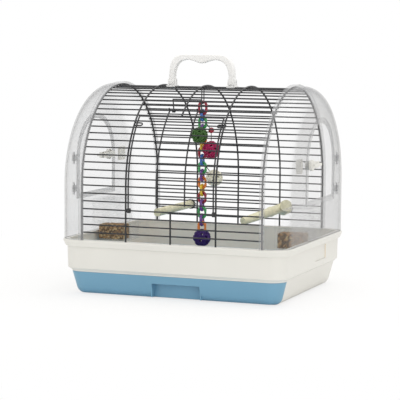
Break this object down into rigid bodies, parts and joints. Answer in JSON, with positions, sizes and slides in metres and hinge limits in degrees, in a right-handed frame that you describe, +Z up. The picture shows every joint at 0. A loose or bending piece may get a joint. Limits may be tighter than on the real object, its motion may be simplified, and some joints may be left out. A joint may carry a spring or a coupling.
{
  "type": "bird cage",
  "caption": "Small travel bird cage with white tub, blue drawer, black wire barrel, clear end shells with arched doors, handle, feeders, perches and a hanging toy.",
  "frame": {"origin": "on the table, under the centre of the tub's underside", "axes": "X along the length, Y from the front door (-Y) to the rear grille (+Y), Z up"},
  "size_m": [0.3638, 0.2932, 0.3473],
  "materials": {
    "black_wire": "semi-gloss black coating",
    "white_plastic": "warm white, lightly polished",
    "blue_plastic": "grey-blue, lightly polished",
    "clear_plastic": "clear, faintly grey",
    "steel": "zinc plated",
    "perch_wood": "plain natural wood",
    "seed_mix": "mixed seed",
    "toy_dark_red": "gloss",
    "toy_blue": "gloss",
    "toy_green": "gloss",
    "toy_yellow": "gloss",
    "toy_orange": "gloss",
    "toy_purple": "gloss",
    "rattan_green": "dyed woven cane",
    "rattan_crimson": "dyed woven cane",
    "rattan_cream": "woven cane"
  },
  "bodies": {
    "cage": {"base_tub": "white_plastic", "handle_clips": "white_plastic", "handle_pins": "steel", "hoop_stub": "black_wire", "rear_cross_wires": "black_wire", "roof_cross_wires": "black_wire", "lower_front_wires": "black_wire", "left_front_wires": "black_wire", "right_front_wires": "black_wire", "door_catches": "black_wire", "perch_dowel": "perch_wood", "perch_branch": "perch_wood", "perch_screws": "steel", "perch_washers": "steel", "perch_wing_nuts": "steel", "hoop_wire_1": "black_wire", "hoop_wire_2": "black_wire", "hoop_wire_3": "black_wire", "hoop_wire_4": "black_wire", "hoop_wire_5": "black_wire", "shell_left": "clear_plastic", "feeder_hood_left": "clear_plastic", "end_hinge_pins_left": "steel", "latch_keeper_left": "white_plastic", "shell_right": "clear_plastic", "feeder_hood_right": "clear_plastic", "end_hinge_pins_right": "steel", "latch_keeper_right": "white_plastic"},
    "drawer": {"drawer": "blue_plastic"},
    "front_door": {"door_frame": "black_wire", "door_cross_wires": "black_wire", "door_hook_wires": "black_wire"},
    "bail": {"latch_bail": "black_wire"},
    "carry_handle": {"handle": "white_plastic"},
    "toy": {"toy_hanger": "black_wire", "toy_ties": "black_wire", "toy_ring": "toy_dark_red", "toy_links_red": "toy_dark_red", "toy_bead": "toy_dark_red", "toy_links_blue": "toy_blue", "toy_links_green": "toy_green", "toy_links_yellow": "toy_yellow", "toy_links_orange": "toy_orange", "toy_links_purple": "toy_purple", "toy_ball_violet": "toy_purple", "toy_ball_green": "rattan_green", "toy_ball_crimson": "rattan_crimson", "toy_ball_cream": "rattan_cream"},
    "end_door_left": {"end_door_left": "clear_plastic"},
    "turn_latch_left": {"latch_lever_left": "white_plastic", "latch_tongue_left": "white_plastic"},
    "seed_cup_left": {"seed_cup_left": "clear_plastic", "seed_left": "seed_mix"},
    "water_cup_left": {"water_cup_left": "clear_plastic"},
    "end_door_right": {"end_door_right": "clear_plastic"},
    "turn_latch_right": {"latch_lever_right": "white_plastic", "latch_tongue_right": "white_plastic"},
    "seed_cup_right": {"seed_cup_right": "clear_plastic", "seed_right": "seed_mix"},
    "water_cup_right": {"water_cup_right": "clear_plastic"}
  },
  "joints": [
    {"name": "drawer_slide", "type": "slide", "parent": "cage", "child": "drawer", "axis": [0, -1, 0], "range_m": [0, 0.24]},
    {"name": "front_door_hinge", "type": "hinge", "parent": "cage", "child": "front_door", "pos_m": [0, -0.13895, 0.12618], "axis": [1, 0, 0], "range_deg": [0, 150]},
    {"name": "bail_hinge", "type": "hinge", "parent": "cage", "child": "bail", "pos_m": [0.0046, -0.08771, 0.26756], "axis": [1, 0, 0], "range_deg": [-38, 92]},
    {"name": "handle_hinge", "type": "hinge", "parent": "cage", "child": "carry_handle", "pos_m": [-0.00725, 0, 0.3072], "axis": [1, 0, 0], "range_deg": [-80, 80]},
    {"name": "toy_swing", "type": "hinge", "parent": "cage", "child": "toy", "pos_m": [-0.004, -0.00556, 0.29864], "axis": [1, 0, 0], "range_deg": [-20, 20]},
    {"name": "end_door_right_hinge", "type": "hinge", "parent": "cage", "child": "end_door_right", "pos_m": [0.1763, 0.0845, 0.1715], "axis": [0, 0, 1], "range_deg": [0, 120]},
    {"name": "turn_latch_right_hinge", "type": "hinge", "parent": "end_door_right", "child": "turn_latch_right", "pos_m": [0.172, -0.04, 0.192], "axis": [1, 0, 0], "range_deg": [0, 180]},
    {"name": "seed_cup_right_slide", "type": "slide", "parent": "cage", "child": "seed_cup_right", "axis": [-1, 0, 0], "range_m": [0, 0.044]},
    {"name": "water_cup_right_slide", "type": "slide", "parent": "cage", "child": "water_cup_right", "axis": [-1, 0, 0], "range_m": [0, 0.044]},
    {"name": "end_door_left_hinge", "type": "hinge", "parent": "cage", "child": "end_door_left", "pos_m": [-0.1763, -0.0845, 0.1715], "axis": [0, 0, 1], "range_deg": [0, 120]},
    {"name": "turn_latch_left_hinge", "type": "hinge", "parent": "end_door_left", "child": "turn_latch_left", "pos_m": [-0.172, 0.04, 0.192], "axis": [-1, 0, 0], "range_deg": [0, 180]},
    {"name": "seed_cup_left_slide", "type": "slide", "parent": "cage", "child": "seed_cup_left", "axis": [1, 0, 0], "range_m": [0, 0.044]},
    {"name": "water_cup_left_slide", "type": "slide", "parent": "cage", "child": "water_cup_left", "axis": [1, 0, 0], "range_m": [0, 0.044]}
  ]
}
